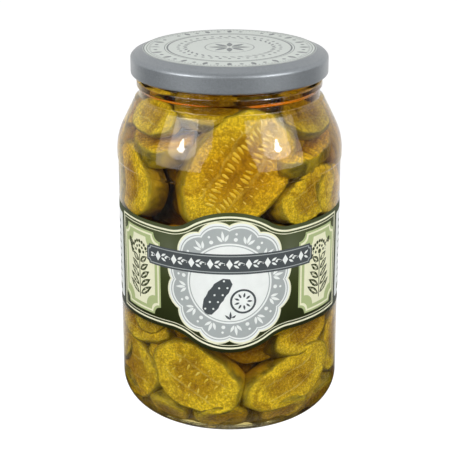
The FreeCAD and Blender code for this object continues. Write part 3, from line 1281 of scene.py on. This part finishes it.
def lid_rings(panel):
    """Round lines on the lid's panel, whose radius is given."""
    spans = ((0.2, 0.65), (1.5, 1.75), (8.6, 8.9), (9.5, 10.2))
    rings = [loop for near, far in spans for loop in ring(panel - near, panel - far)]
    return rings + ring(10.0, 9.7)


def lid_marks(panel):
    """Leaves, dots and ticks set round the lid's panel, and the rosette in its middle."""
    marks = []
    for n in range(40):
        if n % 2:
            marks.append(circle(*polar(panel - 5.0, n * 9), 0.8, 16))
        else:
            marks.append(leaf(*polar(panel - 6.9, n * 9), n * 9, 4.4, 2.0))
    for n in range(150):
        low, high = panel - 3.1, panel - (2.2 if n % 2 else 2.5)
        start, end = n * 2.4, n * 2.4 + TICK_ANGLE
        corners = ((low, start), (high, start), (high, end), (low, end))
        marks.append([polar(radius, angle) for radius, angle in corners])
    for n in range(36):
        marks.append(circle(*polar(20.6, n * 10), 0.7, 12))
        marks.append(leaf(*polar(17.0, n * 10), n * 10 + 60, 3.2, 1.0))
    for n in range(8):
        marks.append(leaf(*polar(1.2, n * 45), n * 45, 7.2, 2.3))
    return marks


class JAR_OT_lid(bpy.types.Operator):
    """Gives the lid its lacquer, its printed panel and its soft seal"""

    bl_idname = "jar.lid"
    bl_label = "Lid"

    def execute(self, context):
        settings = context.scene.jar_lid
        dress("lid", lacquer_material(settings))
        seal = print_material("seal_compound", linear(222, 220, 206), coat=0.0, ink=0.1)
        dress("lid_seal", seal)
        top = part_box("lid")[1][2]
        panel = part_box("lid")[1][0] / MM - LID_SHOULDER
        disc = print_material("lid_disc", tuple(settings.disc), coat=0.35, ink=0.1)
        ink = print_material("lid_ring", tuple(settings.ring), coat=0.35, ink=0.1)
        for name, loops, level, material in (
            ("lid_disc_field", [circle(0, 0, panel, 200)], 1, disc),
            ("lid_disc_rings", lid_rings(panel), 2, ink),
            ("lid_disc_marks", lid_marks(panel), 2, ink),
        ):
            wipe(name)
            mesh = flat_print(loops)
            for vertex in mesh.vertices:
                height = top + level * settings.layer
                vertex.co = (vertex.co.x * MM, vertex.co.y * MM, height)
            new_object(name, mesh, material, smooth=False)
        return {"FINISHED"}


# Height on the jar's axis that the lamps look at
LAMP_TARGET = 0.1
# Half the side of the floor
FLOOR_HALF = 6.0


def lamp(name, direction, elevation, distance, width, height, power, round_lamp=False):
    """A soft lamp that looks at the jar; direction 0 is the front and 90 the right."""
    light = bpy.data.lights.new(name, "AREA")
    light.shape = "DISK" if round_lamp else "RECTANGLE"
    light.size = width
    if not round_lamp:
        light.size_y = height
    light.energy = power
    thing = bpy.data.objects.new(name, light)
    bpy.context.collection.objects.link(thing)
    a, e = math.radians(direction), math.radians(elevation)
    out = Vector((math.sin(a) * math.cos(e), -math.cos(a) * math.cos(e), math.sin(e)))
    thing.location = Vector((0, 0, LAMP_TARGET)) + out * distance
    thing.rotation_mode = "QUATERNION"
    thing.rotation_quaternion = (-out).to_track_quat("-Z", "Y")


class JAR_OT_stage(bpy.types.Operator):
    """Makes the pale floor, the room, the lamps and the camera"""

    bl_idname = "jar.stage"
    bl_label = "Stage"

    def execute(self, context):
        settings = context.scene.jar_stage
        self.floor()
        self.room(context.scene, settings.room)
        for side in (-1, 1):
            lamp(f"soft_box_{side}", side * 52, 25, 1.0, 1.0, 1.2, settings.key)
            lamp(f"spark_{side}", side * 53, 27, 0.96, 0.14, 0, settings.spark, True)
            lamp(f"glow_{side}", side * 52, 26, 0.98, 0.5, 0, settings.glow, True)
        data = bpy.data.cameras.new("camera")
        data.lens = settings.lens
        data.sensor_width = 36.0
        data.clip_start = 0.01
        camera = bpy.data.objects.new("camera", data)
        bpy.context.collection.objects.link(camera)
        camera.location = (0, -settings.distance, settings.height)
        camera.rotation_euler = (math.pi / 2 - settings.pitch, 0, 0)
        context.scene.camera = camera
        context.scene.view_settings.view_transform = "Standard"
        return {"FINISHED"}

    def floor(self):
        """A white floor that is dark where the jar's front mirrors it and grey to its light."""
        corners = [(x, y, 0) for x, y in bar(-FLOOR_HALF, -FLOOR_HALF, FLOOR_HALF, FLOOR_HALF)]
        mesh = mesh_from("floor", corners, [(0, 1, 2, 3)])
        material, nodes = new_material("floor_white")
        path = nodes.add("ShaderNodeLightPath").outputs
        grey = nodes.mix(path["Is Glossy Ray"], (0.24, 0.24, 0.24), (0.03, 0.03, 0.03))
        matt = nodes.add("ShaderNodeBsdfDiffuse", {"Color": grey})
        seen = nodes.math("MAXIMUM", path["Is Camera Ray"], path["Is Transmission Ray"])
        place = nodes.add("ShaderNodeVectorMath", {0: object_point(nodes)}, operation="NORMALIZE")
        depth = nodes.add("ShaderNodeSeparateXYZ", {0: place.outputs[0]}).outputs["Y"]
        beside = nodes.math("MULTIPLY", nodes.ramp(depth, 0.2, 0.85), 0.9)
        mirrored = nodes.math("MULTIPLY", path["Is Glossy Ray"], beside)
        seen = nodes.math("MAXIMUM", nodes.math("MULTIPLY", seen, 0.96), mirrored)
        glow = nodes.add("ShaderNodeEmission", {"Strength": seen})
        both = nodes.add("ShaderNodeAddShader", {0: matt.outputs[0], 1: glow.outputs[0]})
        finish_material(nodes, both.outputs[0])
        thing = bpy.data.objects.new("floor", mesh)
        bpy.context.collection.objects.link(thing)
        thing.data.materials.append(material)

    def room(self, scene, strength):
        """White behind and through the jar, dark where its front mirrors the room."""
        world = bpy.data.worlds.new("room")
        scene.world = world
        world.use_nodes = True
        world.node_tree.nodes.clear()
        nodes = Nodes(world.node_tree)
        path = nodes.add("ShaderNodeLightPath").outputs
        straight = nodes.math("MAXIMUM", path["Is Camera Ray"], path["Is Transmission Ray"])
        way = nodes.add("ShaderNodeTexCoord").outputs["Generated"]
        depth = nodes.add("ShaderNodeSeparateXYZ", {0: way}).outputs["Y"]
        behind = nodes.ramp(depth, -0.3, 0.5)
        mirrored = nodes.math("ADD", 0.06, nodes.math("MULTIPLY", behind, 0.94))
        mirrored = nodes.math("MULTIPLY", path["Is Glossy Ray"], mirrored)
        level = nodes.math("MAXIMUM", nodes.math("MAXIMUM", straight, mirrored), strength)
        sky = nodes.add("ShaderNodeBackground", {"Strength": level})
        nodes.add("ShaderNodeOutputWorld", {"Surface": sky.outputs[0]})


class JAR_PT_pieces(bpy.types.Panel):
    """Lists the pieces of the jar"""

    bl_idname = "JAR_PT_pieces"
    bl_label = "Gherkin jar"
    bl_space_type = "VIEW_3D"
    bl_region_type = "UI"
    bl_category = "Gherkin jar"

    def draw(self, context):
        for name, operator in PIECES:
            box = self.layout.box()
            box.operator(operator.bl_idname)
            group = getattr(context.scene, name)
            for key in group.__annotations__:
                box.prop(group, key)


PIECES = (
    ("jar_glass", JAR_OT_glass),
    ("jar_brine", JAR_OT_brine),
    ("jar_slices", JAR_OT_slices),
    ("jar_label", JAR_OT_label),
    ("jar_lid", JAR_OT_lid),
    ("jar_stage", JAR_OT_stage),
)
SETTINGS = (
    GlassSettings,
    BrineSettings,
    SliceSettings,
    LabelSettings,
    LidSettings,
    StageSettings,
)


def register():
    for group in SETTINGS:
        bpy.utils.register_class(group)
    for (name, operator), group in zip(PIECES, SETTINGS):
        bpy.utils.register_class(operator)
        setattr(bpy.types.Scene, name, PointerProperty(type=group))
    bpy.utils.register_class(JAR_PT_pieces)


def unregister():
    bpy.utils.unregister_class(JAR_PT_pieces)
    for name, operator in reversed(PIECES):
        delattr(bpy.types.Scene, name)
        bpy.utils.unregister_class(operator)
    for group in reversed(SETTINGS):
        bpy.utils.unregister_class(group)


def main():
    register()
    for name, operator in PIECES:
        family, action = operator.bl_idname.split(".")
        getattr(getattr(bpy.ops, family), action)()
    bpy.context.view_layer.update()


if __name__ == "__main__":
    main()
